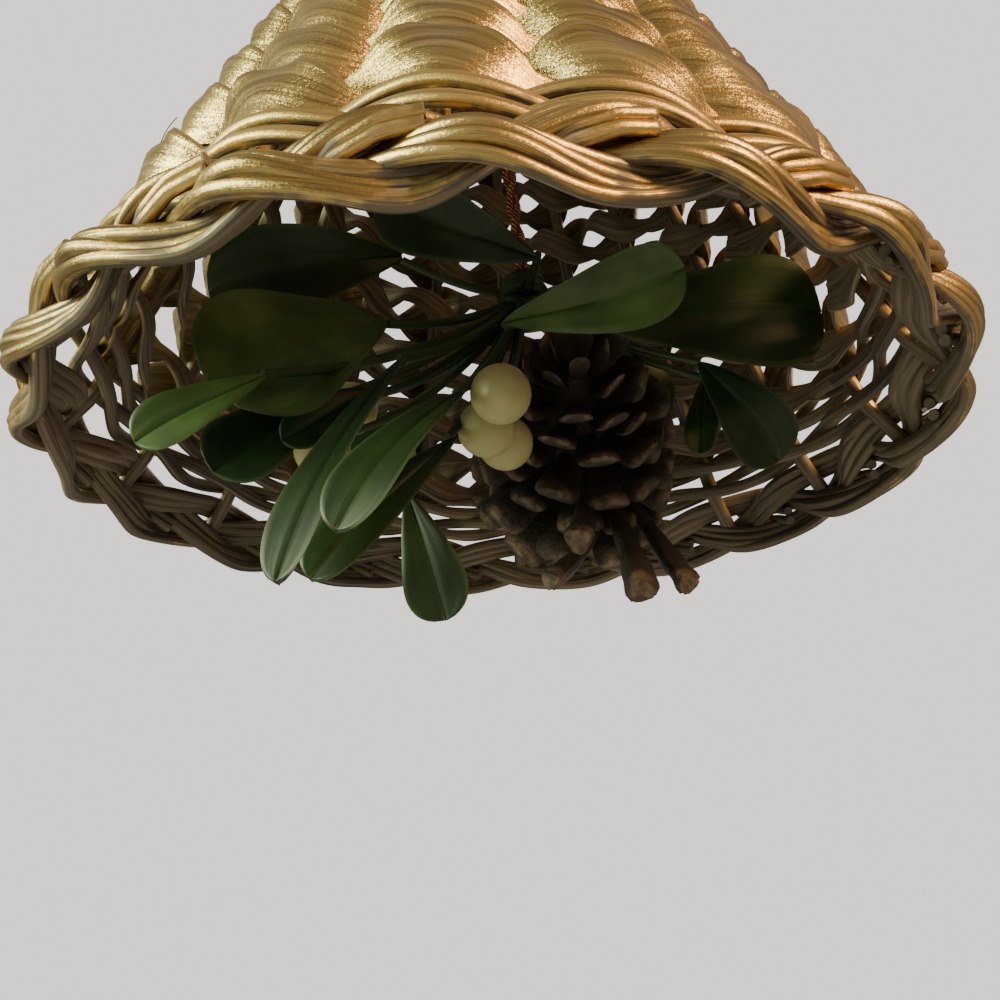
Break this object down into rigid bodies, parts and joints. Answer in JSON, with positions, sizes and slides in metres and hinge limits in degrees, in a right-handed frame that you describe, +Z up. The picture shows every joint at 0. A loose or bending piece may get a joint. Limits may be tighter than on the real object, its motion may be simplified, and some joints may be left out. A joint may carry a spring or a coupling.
{
  "type": "wicker bell ornament",
  "caption": "Hanging bell ornament of twined gold-painted cane with a plaited border and a hanging loop, holding a mistletoe spray with a pine cone on a cord.",
  "frame": {"origin": "the point inside the hanging loop that bears on the hook", "axes": "+Z up along the bell's axis, towards the hook; -Y is the side that the picture shows nearest"},
  "size_m": [0.1638, 0.1648, 0.1992],
  "materials": {
    "gold_cane": "split cane sprayed with metallic gold paint, fine glitter in the grain",
    "bare_cane": "brown cane with thin gold overspray",
    "leaf_green": "satin moulded plastic",
    "berry_ivory": "slightly translucent moulded plastic",
    "cone_brown": "dry natural pine cone",
    "cord_red": "dark red twisted thread with gold metallic filament"
  },
  "bodies": {
    "root": {"stake_1": "bare_cane", "stake_2": "bare_cane", "stake_3": "bare_cane", "stake_4": "bare_cane", "stake_5": "bare_cane", "stake_6": "bare_cane", "stake_7": "bare_cane", "stake_8": "bare_cane", "stake_9": "bare_cane", "stake_10": "bare_cane", "stake_11": "bare_cane", "stake_12": "bare_cane", "stake_13": "bare_cane", "stake_14": "bare_cane", "stake_15": "bare_cane", "stake_16": "bare_cane", "stake_17": "bare_cane", "stake_18": "bare_cane", "fine_row_1_cane_a": "bare_cane", "fine_row_1_cane_b": "bare_cane", "fine_row_2_cane_a": "bare_cane", "fine_row_2_cane_b": "bare_cane", "course_1_strip_a": "gold_cane", "course_1_strip_b": "gold_cane", "course_2_strip_a": "gold_cane", "course_2_strip_b": "gold_cane", "course_3_strip_a": "gold_cane", "course_3_strip_b": "gold_cane", "course_4_strip_a": "gold_cane", "course_4_strip_b": "gold_cane", "course_5_strip_a": "gold_cane", "course_5_strip_b": "gold_cane", "course_6_strip_a": "gold_cane", "course_6_strip_b": "gold_cane", "course_7_strip_a": "gold_cane", "course_7_strip_b": "gold_cane", "course_8_strip_a": "gold_cane", "course_8_strip_b": "gold_cane", "border_bundle_1": "gold_cane", "border_bundle_2": "gold_cane", "border_bundle_3": "gold_cane", "crown_coil": "gold_cane", "hanging_loop": "gold_cane", "mistletoe_sprig": "leaf_green", "berry_1": "berry_ivory", "berry_2": "berry_ivory", "berry_3": "berry_ivory", "berry_4": "berry_ivory", "berry_5": "berry_ivory", "berry_6": "berry_ivory", "hanging_cord": "cord_red", "pine_cone": "cone_brown"}
  },
  "joints": []
}
